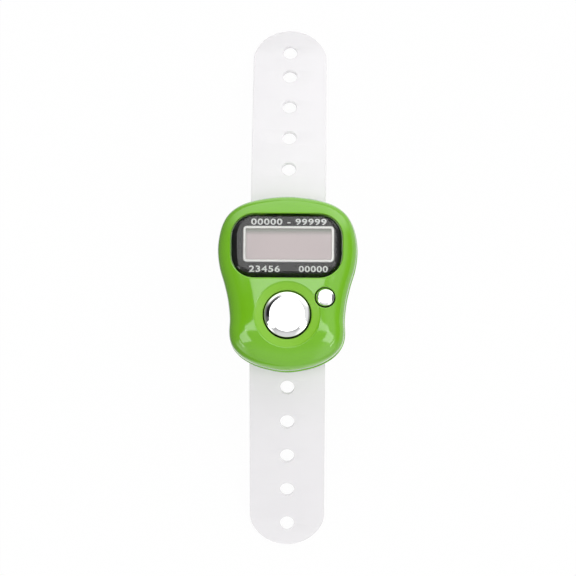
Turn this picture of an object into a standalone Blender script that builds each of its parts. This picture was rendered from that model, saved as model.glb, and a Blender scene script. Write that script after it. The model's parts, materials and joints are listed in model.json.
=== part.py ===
"""Finger tally counter: a five-digit electronic counter in a moulded case on a perforated strap.

The case stands on the tips of its strap. X runs across the case, Y along the strap, Z up.
All lengths are metres.
"""
import math

import bmesh
import bpy
from mathutils import Matrix, Vector

# Case outline, as shares of its half width and half length, from the top middle round the right side
CASE_WIDTH = 0.0280
CASE_LENGTH = 0.0353
OUTLINE_SHARES = [
    (0.0, 1.0), (0.26, 0.985), (0.52, 0.945), (0.71, 0.885), (0.855, 0.79), (0.945, 0.66), (0.993, 0.49),
    (1.0, 0.33), (0.968, 0.16), (0.905, -0.01), (0.85, -0.2), (0.823, -0.4), (0.829, -0.56), (0.803, -0.68),
    (0.725, -0.78), (0.585, -0.87), (0.35, -0.95), (0.0, -0.995),
]
OUTLINE_STEPS = 72
OUTLINE_FINE_STEPS = 12

# Case shells
WALL = 0.0013
BACK_WALL = 0.0010
REAR_COVER_HEIGHT = 0.0036
REAR_EDGE_RADIUS = 0.0020
REAR_EDGE_STEPS = 4
PARTING_GAP = 0.0002
FRONT_SIDE_HEIGHT = 0.0012
ROOF_WALL = 0.00165
DOME_STEPS = 12
HOLLOW_DOME_STEPS = 7
LIP_WALL = 0.0006
LIP_HEIGHT = 0.0009
LIP_CLEARANCE = 0.00015
OVERRUN = 0.0010
MERGE_DISTANCE = 0.000001
CUT_TOLERANCE = 0.0000001
ROUND_STEPS = 32

# Strap
STRAP_WIDTH = 0.0153
STRAP_THICKNESS = 0.0010
STRAP_EDGE_RADIUS = 0.0002
STRAP_HEIGHT = 0.0136
STRAP_PLAY = 0.00025
UPPER_REACH = 0.0555
LOWER_REACH = 0.0520
TIP_ROUND_SHARE = 0.86
SLOT_BEND_RADIUS = 0.0140
FOOT_BEND_RADIUS = 0.0080
FOOT_LENGTH = 0.0025
STRAP_HOLE_RADIUS = 0.00145
STRAP_HOLE_PITCH = 0.0074
STRAP_HOLES = 5
UPPER_TIP_MARGIN = 0.0049
UPPER_TIP_PITCH = 0.0058
LOWER_TIP_MARGIN = 0.0045
TIP_STEPS = 14
HOLE_STEPS = 16
BEND_SPACING = 0.0025

# Strap loops on the back
LOOP_DEPTH = 0.0024
LOOP_BAR = 0.0012
LOOP_POST = 0.0013
LOOP_ROUND = 0.0004
UPPER_LOOP_Y = 0.0125
LOWER_LOOP_Y = -0.0116
HINGE_STANDOFF = 0.0006
HINGE_CLEARANCE = 0.0003

# Window, display and the layers under it
WINDOW_RIM = 0.0030
LENS_LENGTH = 0.0126
LENS_CORNER = 0.0046
LENS_PLACE = (-0.0002, 0.00733)
LENS_THICKNESS = 0.0008
LENS_RECESS = 0.0008
LENS_BEVEL_REACH = 0.0010
LENS_BEVEL_DEPTH = 0.0006
LENS_EDGE = 0.0001
LENS_CLEARANCE = 0.0001
FRAME_RIB = 0.0009
LEDGE = 0.0006
MASK_THICKNESS = 0.00025
LAYER_GAP = 0.0001
MASK_BAND = 0.00195
BEZEL_LENGTH = 0.0072
BEZEL_LINE = 0.0005
BEZEL_CORNER = 0.0007
DISPLAY_PLACE = (0.0002, 0.00776)
FILM_THICKNESS = 0.00015
GLASS_THICKNESS = 0.0005
GLASS_OVERLAP = 0.00025
GLASS_LENGTH = 0.0086
GLASS_LEDGE = 0.0012
GLASS_CLEARANCE = 0.0003
ZEBRA_SETBACK = 0.0008
ZEBRA_LENGTH = 0.0010
ZEBRA_HEIGHT = 0.0009

# Circuit board and cell, with the board's parts placed by shares of the case's half sizes
BOARD_THICKNESS = 0.0008
BOARD_MARGIN = 0.0009
CELL_RADIUS = 0.0058
CELL_THICKNESS = 0.00305
CELL_CAP_RADIUS = 0.0048
CELL_CAP_HEIGHT = 0.0004
CELL_Y = 0.0053
CELL_CLEARANCE = 0.0003
CELL_RING_WALL = 0.0007
CELL_RING_HEIGHT = 0.0020
CONTACT_THICKNESS = 0.0002
CONTACT_WIDTH = 0.0030
CONTACT_REACH = 0.0090
BLOB_RADIUS = 0.0022
BLOB_HEIGHT = 0.0010
BLOB_STEPS = 4
BLOB_SHARE = (-0.2143, -0.4686)
CAPACITOR_SIZE = (0.0016, 0.0008, 0.0008)
CAPACITOR_SHARE = (0.3214, -0.2971)

# Buttons, placed by shares of the case's half sizes
COUNT_SHARE = (0.0, -0.3654)
COUNT_RADIUS = 0.00435
COUNT_FLAT_RADIUS = 0.0039
COUNT_PROUD = 0.0005
COUNT_HOLE_RADIUS = 0.00485
COUNT_TRAVEL = 0.0008
COUNT_DOME_SQUEEZED = 0.0012
DISH_RADIUS = 0.00665
DISH_DEPTH = 0.0008
DISH_RIM = 0.0009
DISH_STEPS = 5
RESET_SHARE = (0.5357, -0.1700)
RESET_RADIUS = 0.00158
RESET_FLAT_RADIUS = 0.00125
RESET_SUNK = 0.0004
RESET_HOLE_RADIUS = 0.00205
RESET_TRAVEL = 0.0005
RESET_DOME_SQUEEZED = 0.0009
BUTTON_CROWN = 0.00005
BUTTON_EDGE_STEPS = 3
FLANGE_REACH = 0.00045
RESET_FLANGE_REACH = 0.0004
RESET_COLLAR = 0.0006
RESET_COLLAR_WALL = 0.0005
FLANGE_CLEARANCE = 0.0003
BUTTON_WALL = 0.0008
COUNT_STEM_RADIUS = 0.0016
RESET_STEM_RADIUS = 0.0007
DOME_WALL = 0.0004
COUNT_DOME_RADIUS = 0.0034
COUNT_DOME_TOP_RADIUS = 0.0018
RESET_DOME_RADIUS = 0.0017
RESET_DOME_TOP_RADIUS = 0.0009

# Screws, with their posts and bosses in the covers, placed by shares of the case's half sizes
CASE_SCREW_SHARES = [(0.7857, 0.4286), (-0.7857, 0.4286), (0.6429, -0.4457), (-0.6429, -0.4457)]
BOARD_SCREW_SHARES = [(-0.5286, -0.1371), (0.4571, -0.6514)]
SCREW_RADIUS = 0.0007
SCREW_LENGTH = 0.0052
BOARD_SCREW_LENGTH = 0.0028
SCREW_HEAD_RADIUS = 0.00125
BOARD_SCREW_HEAD_RADIUS = 0.0011
SCREW_HEAD_HEIGHT = 0.0006
SCREW_SLOT_WIDTH = 0.0003
SCREW_SLOT_DEPTH = 0.0003
SCREW_CLEARANCE = 0.0001
HEAD_SINK = 0.0009
POST_RADIUS = 0.0019
POST_HEIGHT = 0.0032
BOSS_RADIUS = 0.0015
BOARD_BOSS_RADIUS = 0.0012
POST_CLEARANCE = 0.0003

# Heights, stacked from the strap up through the cell, the board and the display to the crown
BACK_Z = STRAP_HEIGHT + STRAP_THICKNESS / 2 + STRAP_PLAY
FLOOR_Z = BACK_Z + BACK_WALL
PARTING_Z = BACK_Z + REAR_COVER_HEIGHT
CELL_Z = FLOOR_Z + LAYER_GAP + CONTACT_THICKNESS + LAYER_GAP
CELL_TOP_Z = CELL_Z + CELL_THICKNESS
BOARD_Z = CELL_TOP_Z + LAYER_GAP + CONTACT_THICKNESS + LAYER_GAP
BOARD_TOP_Z = BOARD_Z + BOARD_THICKNESS
ZEBRA_Z = BOARD_TOP_Z + LAYER_GAP
REFLECTOR_Z = ZEBRA_Z + ZEBRA_HEIGHT - FILM_THICKNESS
REAR_GLASS_Z = REFLECTOR_Z + FILM_THICKNESS + LAYER_GAP
FRONT_GLASS_Z = REAR_GLASS_Z + GLASS_THICKNESS + LAYER_GAP
POLARISER_Z = FRONT_GLASS_Z + GLASS_THICKNESS + LAYER_GAP
MASK_Z = POLARISER_Z + FILM_THICKNESS + LAYER_GAP
LENS_Z = MASK_Z + MASK_THICKNESS + LAYER_GAP
LENS_TOP_Z = LENS_Z + LENS_THICKNESS
TOP_Z = LENS_TOP_Z + LENS_RECESS
LEDGE_Z = MASK_Z - LAYER_GAP
DISH_Z = TOP_Z - DISH_DEPTH
PAD_Z = DISH_Z - BUTTON_WALL
RESET_PAD_Z = PAD_Z - RESET_COLLAR
COUNT_FLANGE_Z = BOARD_TOP_Z + COUNT_DOME_SQUEEZED + COUNT_TRAVEL
RESET_FLANGE_Z = BOARD_TOP_Z + RESET_DOME_SQUEEZED + RESET_TRAVEL
POST_TOP_Z = BACK_Z + POST_HEIGHT
HEAD_Z = BACK_Z + HEAD_SINK
FRONT_INNER_TOP_Z = TOP_Z - ROOF_WALL

# Derived places in plan
HALF_WIDTH = CASE_WIDTH / 2
HALF_LENGTH = CASE_LENGTH / 2
LENS_WIDTH = CASE_WIDTH - 2 * WINDOW_RIM
BEZEL_WIDTH = LENS_WIDTH - 2 * MASK_BAND
GLASS_WIDTH = BEZEL_WIDTH + 2 * GLASS_OVERLAP
ZEBRA_WIDTH = GLASS_WIDTH - 2 * ZEBRA_SETBACK
UPPER_HINGE_Y = UPPER_LOOP_Y + LOOP_DEPTH / 2 + HINGE_STANDOFF
LOWER_HINGE_Y = LOWER_LOOP_Y - LOOP_DEPTH / 2 - HINGE_STANDOFF
CASE_Y = (LOWER_REACH - UPPER_REACH) / 2
POCKET_WIDTH = GLASS_WIDTH + 2 * GLASS_CLEARANCE
POCKET_LENGTH = GLASS_LENGTH + 2 * GLASS_CLEARANCE
COUNT_PLACE, RESET_PLACE, BLOB_PLACE, CAPACITOR_PLACE = (
    (x * HALF_WIDTH, y * HALF_LENGTH) for x, y in (COUNT_SHARE, RESET_SHARE, BLOB_SHARE, CAPACITOR_SHARE))
CASE_SCREW_PLACES = [(x * HALF_WIDTH, y * HALF_LENGTH) for x, y in CASE_SCREW_SHARES]
BOARD_SCREW_PLACES = [(x * HALF_WIDTH, y * HALF_LENGTH) for x, y in BOARD_SCREW_SHARES]

parts = bpy.data.collections.new("finger_tally_counter")
cutters = bpy.data.collections.new("cutters")


def start_scene():
    for old in list(bpy.data.objects):
        bpy.data.objects.remove(old, do_unlink=True)
    for collection in (parts, cutters):
        bpy.context.scene.collection.children.link(collection)


def material(name, colour, roughness, metallic=0.0, alpha=1.0):
    made = bpy.data.materials.new(name)
    made.use_nodes = True
    shader = made.node_tree.nodes["Principled BSDF"]
    shader.inputs["Base Color"].default_value = (*colour, 1.0)
    shader.inputs["Roughness"].default_value = roughness
    shader.inputs["Metallic"].default_value = metallic
    shader.inputs["Alpha"].default_value = alpha
    return made


def add_object(name, mesh, finish=None):
    """A sub-part when it has a finish, and otherwise a cutter or a guide."""
    made = bpy.data.objects.new(name, mesh)
    if finish:
        mesh.materials.clear()
        mesh.materials.append(finish)
        parts.objects.link(made)
    else:
        made.hide_render = True
        made.display_type = "WIRE"
        cutters.objects.link(made)
    return made


def mesh_from(build):
    """A mesh from a bmesh that the build function has filled."""
    work = bmesh.new()
    build(work)
    bmesh.ops.recalc_face_normals(work, faces=work.faces)
    mesh = bpy.data.meshes.new("mesh")
    work.to_mesh(mesh)
    work.free()
    return mesh


def boolean(target, tool, operation):
    step = target.modifiers.new(operation.lower() + "_" + tool.name, "BOOLEAN")
    step.operation = operation
    step.solver = "EXACT"
    step.object = tool


def cut(target, *tools):
    for tool in tools:
        boolean(target, tool, "DIFFERENCE")


def join(target, *tools):
    for tool in tools:
        boolean(target, tool, "UNION")


def smooth_all(angle_degrees=35.0):
    """Each sub-part takes its finished mesh, with its round faces shaded smooth up to its sharp edges."""
    depsgraph = bpy.context.evaluated_depsgraph_get()
    for piece in parts.objects:
        if piece.type == "MESH":
            mesh = bpy.data.meshes.new_from_object(piece.evaluated_get(depsgraph))
            mesh.name = piece.name
            mesh.shade_smooth()
            mesh.set_sharp_from_angle(angle=math.radians(angle_degrees))
            piece.modifiers.clear()
            piece.data = mesh


def cylinder(name, radius, low, high, place, finish=None, steps=ROUND_STEPS):
    def build(work):
        bmesh.ops.create_cone(
            work, cap_ends=True, segments=steps, radius1=radius, radius2=radius, depth=high - low,
            matrix=Matrix.Translation((place[0], place[1], (low + high) / 2)),
        )
    return add_object(name, mesh_from(build), finish)


def box(name, low, high, finish=None):
    low, high = Vector(low), Vector(high)

    def build(work):
        size = Matrix.Diagonal((*(high - low), 1.0))
        bmesh.ops.create_cube(work, size=1.0, matrix=Matrix.Translation((low + high) / 2) @ size)
    return add_object(name, mesh_from(build), finish)


def turned(name, profile, place, finish=None, steps=ROUND_STEPS):
    """A profile of (radius, height) points, down its outer side, turned round an upright axis."""
    mesh = bpy.data.meshes.new("mesh")
    edges = [(i, i + 1) for i in range(len(profile) - 1)]
    mesh.from_pydata([(r, 0.0, z) for r, z in profile], edges, [])
    made = add_object(name, mesh, finish)
    made.location = (place[0], place[1], 0.0)
    screw = made.modifiers.new("turn", "SCREW")
    screw.axis = "Z"
    screw.steps = screw.render_steps = steps
    screw.use_merge_vertices = True
    screw.merge_threshold = MERGE_DISTANCE
    screw.use_smooth_shade = True
    return made


def plate(name, outlines, low, high, finish=None):
    """A flat plate with the first outline outside and the others as holes."""
    curve = bpy.data.curves.new(name, "CURVE")
    curve.dimensions = "2D"
    curve.fill_mode = "BOTH"
    curve.extrude = (high - low) / 2
    for outline in outlines:
        spline = curve.splines.new("POLY")
        spline.points.add(len(outline) - 1)
        for point, (x, y) in zip(spline.points, outline):
            point.co = (x, y, 0.0, 1.0)
        spline.use_cyclic_u = True
    guide = bpy.data.objects.new(name + "_curve", curve)
    cutters.objects.link(guide)
    mesh = bpy.data.meshes.new_from_object(guide.evaluated_get(bpy.context.evaluated_depsgraph_get()))
    bpy.data.objects.remove(guide, do_unlink=True)
    work = bmesh.new()
    work.from_mesh(mesh)
    bmesh.ops.remove_doubles(work, verts=work.verts, dist=MERGE_DISTANCE)
    bmesh.ops.translate(work, verts=work.verts, vec=(0.0, 0.0, (low + high) / 2))
    bmesh.ops.recalc_face_normals(work, faces=work.faces)
    work.to_mesh(mesh)
    work.free()
    return add_object(name, mesh, finish)


def loft(name, rings, finish=None):
    """A closed solid through rings of equal point counts, the first and last capped."""
    def build(work):
        made = [[work.verts.new(point) for point in ring] for ring in rings]
        count = len(made[0])
        for lower, upper in zip(made, made[1:]):
            for i in range(count):
                j = (i + 1) % count
                work.faces.new((lower[i], lower[j], upper[j], upper[i]))
        work.faces.new(list(reversed(made[0])))
        work.faces.new(made[-1])
    return add_object(name, mesh_from(build), finish)


def rounded_rectangle(width, length, corner, centre, steps=6):
    points = []
    for quarter, (side, end) in enumerate([(1, 1), (-1, 1), (-1, -1), (1, -1)]):
        for i in range(steps + 1):
            turn = math.radians(90.0) * (quarter + i / steps)
            points.append((
                centre[0] + side * (width / 2 - corner) + corner * math.cos(turn),
                centre[1] + end * (length / 2 - corner) + corner * math.sin(turn),
            ))
    return points


def lens_outline(growth):
    """The window's outline, grown on every side."""
    return rounded_rectangle(
        LENS_WIDTH + 2 * growth, LENS_LENGTH + 2 * growth, LENS_CORNER + growth, LENS_PLACE)


def circle(radius, place, steps=ROUND_STEPS):
    turns = [math.tau * i / steps for i in range(steps)]
    return [(place[0] + radius * math.cos(turn), place[1] + radius * math.sin(turn)) for turn in turns]


def case_outline():
    """The case's outline at full size: a smooth closed curve through the shares, in even steps."""
    right = OUTLINE_SHARES
    left = [(-x, y) for x, y in reversed(right[1:-1])]
    knots = [Vector((x * HALF_WIDTH, y * HALF_LENGTH)) for x, y in right + left]
    fine = []
    for i, start in enumerate(knots):
        before, end, after = knots[i - 1], knots[(i + 1) % len(knots)], knots[(i + 2) % len(knots)]
        for step in range(OUTLINE_FINE_STEPS):
            t = step / OUTLINE_FINE_STEPS
            fine.append(
                (2 * start + (end - before) * t + (2 * before - 5 * start + 4 * end - after) * t ** 2
                 + (3 * start - before - 3 * end + after) * t ** 3) / 2
            )
    fine.append(fine[0])
    lengths = [0.0]
    for a, b in zip(fine, fine[1:]):
        lengths.append(lengths[-1] + (b - a).length)
    points = []
    k = 0
    for step in range(OUTLINE_STEPS):
        wanted = lengths[-1] * step / OUTLINE_STEPS
        while lengths[k + 1] < wanted:
            k += 1
        points.append(fine[k].lerp(fine[k + 1], (wanted - lengths[k]) / (lengths[k + 1] - lengths[k])))
    return points


OUTLINE = case_outline()


def ring(inset, height):
    """The outline drawn in towards the middle by the inset, at a height."""
    across = 1 - inset / HALF_WIDTH
    along = 1 - inset / HALF_LENGTH
    return [Vector((p.x * across, p.y * along, height)) for p in OUTLINE]


def dome_rings(inset, foot_z, top_z, steps):
    """The front cover's pillow-like top: rings close together near its edge, drawn in to the middle."""
    half_width = HALF_WIDTH - inset
    half_length = HALF_LENGTH - inset
    rings = []
    for i in range(steps):
        share = math.cos(math.radians(90.0) * i / steps)
        spread = 1 + (half_length / half_width - 1) * (1 - share) ** 2
        draw = half_width / half_length * (1 - share) * spread
        across = share * half_width / HALF_WIDTH
        along = (1 - draw) * half_length / HALF_LENGTH
        height = foot_z + (top_z - foot_z) * (1 - share ** 4) ** (1 / 3)
        rings.append([Vector((p.x * across, p.y * along, height)) for p in OUTLINE])
    return rings


def board_outline(margin):
    return [(p.x, p.y) for p in ring(margin, 0.0)]


def front_cover(finish):
    foot_z = PARTING_Z + PARTING_GAP
    shoulder_z = foot_z + FRONT_SIDE_HEIGHT
    outside = dome_rings(0.0, shoulder_z, TOP_Z, DOME_STEPS)
    inside = dome_rings(WALL, shoulder_z, FRONT_INNER_TOP_Z, HOLLOW_DOME_STEPS)
    cover = loft("front_cover", [ring(0.0, foot_z)] + outside, finish)
    hollow = loft("front_hollow", [ring(WALL, foot_z - OVERRUN)] + inside)
    ribs = [
        plate("window_rib", [lens_outline(FRAME_RIB)], LEDGE_Z - LEDGE, TOP_Z),
        cylinder("count_pad", DISH_RADIUS + DISH_RIM, PAD_Z, TOP_Z, COUNT_PLACE),
        cylinder("reset_pad", RESET_HOLE_RADIUS + RESET_COLLAR_WALL, RESET_PAD_Z, TOP_Z, RESET_PLACE),
    ]
    for i, place in enumerate(CASE_SCREW_PLACES):
        ribs.append(cylinder(
            f"case_boss_{i + 1}", BOSS_RADIUS, POST_TOP_Z + POST_CLEARANCE, TOP_Z, place))
    for i, place in enumerate(BOARD_SCREW_PLACES):
        ribs.append(cylinder(
            f"board_boss_{i + 1}", BOARD_BOSS_RADIUS, BOARD_TOP_Z + LAYER_GAP, TOP_Z, place))
    cut(hollow, *ribs)
    join(hollow, cylinder(
        "reset_relief", RESET_HOLE_RADIUS + RESET_FLANGE_REACH + FLANGE_CLEARANCE, BOARD_TOP_Z,
        RESET_PAD_Z - LAYER_GAP, RESET_PLACE))
    pocket = rounded_rectangle(POCKET_WIDTH, POCKET_LENGTH, GLASS_CLEARANCE, DISPLAY_PLACE, steps=2)
    cut(
        cover, hollow,
        plate("lens_seat", [lens_outline(LENS_CLEARANCE)], LEDGE_Z, TOP_Z + OVERRUN),
        plate("display_pocket", [pocket], LEDGE_Z - LEDGE - OVERRUN, LEDGE_Z + MASK_THICKNESS),
        turned("thumb_dish", dish_profile(), COUNT_PLACE),
        cylinder("count_hole", COUNT_HOLE_RADIUS, PAD_Z - OVERRUN, TOP_Z + OVERRUN, COUNT_PLACE),
        cylinder("reset_hole", RESET_HOLE_RADIUS, RESET_PAD_Z - OVERRUN, TOP_Z + OVERRUN, RESET_PLACE),
    )
    for i, place in enumerate(CASE_SCREW_PLACES):
        tip_z = HEAD_Z + SCREW_HEAD_HEIGHT + SCREW_LENGTH + SCREW_CLEARANCE
        cut(cover, cylinder(
            f"case_pilot_{i + 1}", SCREW_RADIUS + SCREW_CLEARANCE, POST_TOP_Z, tip_z, place, steps=16))
    for i, place in enumerate(BOARD_SCREW_PLACES):
        tip_z = BOARD_Z - LAYER_GAP + BOARD_SCREW_LENGTH + SCREW_CLEARANCE
        cut(cover, cylinder(
            f"board_pilot_{i + 1}", SCREW_RADIUS + SCREW_CLEARANCE, BOARD_TOP_Z, tip_z, place, steps=16))
    return cover


def dish_profile():
    """The thumb dish: a shallow bowl that meets the top of the case at a soft edge."""
    profile = [(0.0, TOP_Z + OVERRUN), (DISH_RADIUS, TOP_Z + OVERRUN)]
    for i in range(DISH_STEPS + 1):
        share = 1 - i / DISH_STEPS
        profile.append((DISH_RADIUS * share, TOP_Z - DISH_DEPTH * (1 - share ** 2)))
    return profile


def rear_cover(finish):
    turns = [math.radians(90.0) * i / REAR_EDGE_STEPS for i in range(REAR_EDGE_STEPS + 1)]
    edge = [
        ring(REAR_EDGE_RADIUS * (1 - math.sin(turn)), BACK_Z + REAR_EDGE_RADIUS * (1 - math.cos(turn)))
        for turn in turns
    ]
    cover = loft("rear_cover", edge + [ring(0.0, PARTING_Z)], finish)
    hollow = loft("rear_hollow", [
        ring(WALL + REAR_EDGE_RADIUS / 2, FLOOR_Z),
        ring(WALL, BACK_Z + REAR_EDGE_RADIUS),
        ring(WALL, PARTING_Z + OVERRUN),
    ])
    posts = [
        cylinder(f"case_post_{i + 1}", POST_RADIUS, BACK_Z, POST_TOP_Z, place)
        for i, place in enumerate(CASE_SCREW_PLACES)
    ]
    ring_inner = CELL_RADIUS + CELL_CLEARANCE
    cell_ring = plate(
        "cell_ring",
        [circle(ring_inner + CELL_RING_WALL, (0.0, CELL_Y)), circle(ring_inner, (0.0, CELL_Y))],
        BACK_Z, FLOOR_Z + CELL_RING_HEIGHT,
    )
    notch_half = CONTACT_WIDTH / 2 + CELL_CLEARANCE
    notch_top_z = FLOOR_Z + CELL_RING_HEIGHT + OVERRUN
    cut(cell_ring, box(
        "contact_notch", (-notch_half, CELL_Y - ring_inner - 2 * CELL_RING_WALL, FLOOR_Z),
        (notch_half, CELL_Y - CELL_RADIUS / 2, notch_top_z)))
    cut(hollow, *posts, cell_ring)
    cut(cover, hollow)
    lip_outer = WALL + LIP_CLEARANCE
    lip_root = WALL - LIP_WALL
    step_z = PARTING_Z - LIP_CLEARANCE
    lip = loft("parting_lip", [
        ring(lip_root, PARTING_Z - LIP_HEIGHT), ring(lip_root, step_z),
        ring(lip_outer, step_z), ring(lip_outer, PARTING_Z + LIP_HEIGHT),
    ])
    cut(lip, loft("lip_bore", [
        ring(lip_outer + LIP_WALL, PARTING_Z - 2 * LIP_HEIGHT),
        ring(lip_outer + LIP_WALL, PARTING_Z + 2 * LIP_HEIGHT),
    ]))
    for i, place in enumerate(CASE_SCREW_PLACES):
        cut(lip, cylinder(
            f"boss_relief_{i + 1}", BOSS_RADIUS + POST_CLEARANCE, POST_TOP_Z - LIP_CLEARANCE,
            PARTING_Z + 2 * LIP_HEIGHT, place))
    join(cover, lip)
    join(cover, strap_loop("upper_loop", UPPER_LOOP_Y), strap_loop("lower_loop", LOWER_LOOP_Y))
    for i, place in enumerate(CASE_SCREW_PLACES):
        cut(
            cover,
            cylinder(
                f"head_sink_{i + 1}", SCREW_HEAD_RADIUS + 2 * SCREW_CLEARANCE, BACK_Z - OVERRUN,
                HEAD_Z + SCREW_HEAD_HEIGHT + SCREW_CLEARANCE, place, steps=24),
            cylinder(
                f"screw_way_{i + 1}", SCREW_RADIUS + SCREW_CLEARANCE, BACK_Z, POST_TOP_Z + OVERRUN,
                place, steps=16),
        )
    return cover


def strap_loop(name, y):
    """A bar across the strap on two posts, which grow out of the back."""
    half = STRAP_WIDTH / 2 + STRAP_PLAY + LOOP_POST
    low_z = STRAP_HEIGHT - STRAP_THICKNESS / 2 - STRAP_PLAY - LOOP_BAR
    loop = box(
        name, (-half, y - LOOP_DEPTH / 2, low_z), (half, y + LOOP_DEPTH / 2, FLOOR_Z - LIP_CLEARANCE))
    bevel = loop.modifiers.new("round", "BEVEL")
    bevel.width = LOOP_ROUND
    bevel.segments = 2
    slot = half - LOOP_POST
    cut(loop, box(
        name + "_slot", (-slot, y - LOOP_DEPTH, low_z + LOOP_BAR),
        (slot, y + LOOP_DEPTH, FLOOR_Z + OVERRUN)))
    return loop


def window_lens(finish):
    """A clear plate with a broad bevel round its face."""
    foot_z = LENS_TOP_Z - LENS_BEVEL_DEPTH
    reaches = [
        (LENS_EDGE, LENS_Z), (0.0, LENS_Z + LENS_EDGE), (0.0, foot_z), (LENS_BEVEL_REACH, LENS_TOP_Z),
    ]
    rings = [[(x, y, z) for x, y in lens_outline(-reach)] for reach, z in reaches]
    return loft("window_lens", rings, finish)


def bezel_outline(growth, steps):
    """The silver line's outline, grown on every side."""
    return rounded_rectangle(
        BEZEL_WIDTH + 2 * growth, BEZEL_LENGTH + 2 * growth, BEZEL_CORNER + growth, DISPLAY_PLACE, steps)


def display_parts(mask_finish, bezel_finish, film_finish, glass_finish, reflector_finish):
    mask_top_z = MASK_Z + MASK_THICKNESS
    plate("mask_plate", [lens_outline(0.0), bezel_outline(LENS_CLEARANCE, 4)], MASK_Z, mask_top_z,
          mask_finish)
    plate("display_bezel", [bezel_outline(0.0, 4), bezel_outline(-BEZEL_LINE, 2)], MASK_Z, mask_top_z,
          bezel_finish)
    x, y = DISPLAY_PLACE
    half_width = GLASS_WIDTH / 2
    low_x, high_x = x - half_width, x + half_width
    low_y, high_y = y - GLASS_LENGTH / 2, y + GLASS_LENGTH / 2
    front_low_y = low_y + GLASS_LEDGE
    box("lcd_polariser", (low_x, front_low_y, POLARISER_Z),
        (high_x, high_y, POLARISER_Z + FILM_THICKNESS), film_finish)
    box("lcd_front_glass", (low_x, low_y, FRONT_GLASS_Z),
        (high_x, high_y, FRONT_GLASS_Z + GLASS_THICKNESS), glass_finish)
    box("lcd_rear_glass", (low_x, front_low_y, REAR_GLASS_Z),
        (high_x, high_y, REAR_GLASS_Z + GLASS_THICKNESS), glass_finish)
    box("lcd_reflector", (low_x, front_low_y, REFLECTOR_Z),
        (high_x, high_y, REFLECTOR_Z + FILM_THICKNESS), reflector_finish)


def zebra_strip(finish):
    """The rubber strip that joins the front glass's contact ledge to the board."""
    ledge_y = DISPLAY_PLACE[1] - GLASS_LENGTH / 2
    box("zebra_strip", (-ZEBRA_WIDTH / 2, ledge_y, ZEBRA_Z),
        (ZEBRA_WIDTH / 2, ledge_y + ZEBRA_LENGTH, FRONT_GLASS_Z - LAYER_GAP), finish)


def circuit_board(finish):
    board = plate("circuit_board", [board_outline(WALL + BOARD_MARGIN)], BOARD_Z, BOARD_TOP_Z, finish)
    low_z, high_z = BOARD_Z - OVERRUN, BOARD_TOP_Z + OVERRUN
    for i, place in enumerate(CASE_SCREW_PLACES):
        cut(board, cylinder(
            f"board_notch_{i + 1}", BOSS_RADIUS + POST_CLEARANCE, low_z, high_z, place, steps=24))
    for i, place in enumerate(BOARD_SCREW_PLACES):
        cut(board, cylinder(
            f"board_hole_{i + 1}", SCREW_RADIUS + SCREW_CLEARANCE, low_z, high_z, place, steps=16))
    return board


def board_parts(resin_finish, capacitor_finish):
    blob = [(0.0, BOARD_Z - LAYER_GAP), (BLOB_RADIUS, BOARD_Z - LAYER_GAP)]
    for i in range(1, BLOB_STEPS + 1):
        turn = math.radians(90.0) * i / BLOB_STEPS
        blob.append((BLOB_RADIUS * math.cos(turn), BOARD_Z - LAYER_GAP - BLOB_HEIGHT * math.sin(turn)))
    turned("chip_blob", blob, BLOB_PLACE, resin_finish, steps=24)
    x, y = CAPACITOR_PLACE
    width, length, height = CAPACITOR_SIZE
    box("supply_capacitor", (x - width / 2, y - length / 2, BOARD_Z - LAYER_GAP - height),
        (x + width / 2, y + length / 2, BOARD_Z - LAYER_GAP), capacitor_finish)


def cell_and_contacts(cell_finish, contact_finish):
    can_top_z = CELL_TOP_Z - CELL_CAP_HEIGHT
    turned("button_cell", [
        (0.0, CELL_TOP_Z), (CELL_CAP_RADIUS, CELL_TOP_Z), (CELL_CAP_RADIUS, can_top_z),
        (CELL_RADIUS, can_top_z), (CELL_RADIUS, CELL_Z), (0.0, CELL_Z),
    ], (0.0, CELL_Y), cell_finish, steps=40)
    half = CONTACT_WIDTH / 2
    arm_y = CELL_Y - CELL_RADIUS - CELL_CLEARANCE - CELL_RING_WALL
    positive = box(
        "positive_contact", (-half, arm_y, FLOOR_Z + LAYER_GAP),
        (half, CELL_Y, FLOOR_Z + LAYER_GAP + CONTACT_THICKNESS), contact_finish)
    join(positive, box(
        "contact_arm", (-half, arm_y, FLOOR_Z + LAYER_GAP),
        (half, arm_y + CONTACT_THICKNESS, BOARD_Z - LAYER_GAP)))
    negative_z = CELL_TOP_Z + LAYER_GAP
    box("negative_contact", (-half, CELL_Y - CELL_CAP_RADIUS / 2, negative_z),
        (half, CELL_Y - CELL_CAP_RADIUS / 2 + CONTACT_REACH, negative_z + CONTACT_THICKNESS), contact_finish)


def button(name, place, radius, flat_radius, flange_radius, heights, stem_radius, finish):
    """A cap with a rounded edge, a flange that holds it in the case and a stem that presses the dome."""
    edge = radius - flat_radius
    top_z, pad_z, flange_z = heights
    flange_top_z = pad_z - FLANGE_CLEARANCE
    bore_radius = radius - BUTTON_WALL
    flat_z = top_z - BUTTON_CROWN
    profile = [(0.0, top_z), (flat_radius / 2, top_z - BUTTON_CROWN / 4), (flat_radius, flat_z)]
    for i in range(1, BUTTON_EDGE_STEPS + 1):
        turn = math.radians(90.0) * i / BUTTON_EDGE_STEPS
        profile.append((flat_radius + edge * math.sin(turn), flat_z - edge * (1 - math.cos(turn))))
    profile += [(radius, flange_top_z), (flange_radius, flange_top_z), (flange_radius, flange_z)]
    if bore_radius > stem_radius:
        roof_z = flange_top_z + (top_z - flange_top_z) / 4
        profile += [(bore_radius, flange_z), (bore_radius, roof_z), (stem_radius, roof_z)]
        profile.append((stem_radius, flange_z))
    profile.append((0.0, flange_z))
    return turned(name, profile, place, finish)


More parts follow.
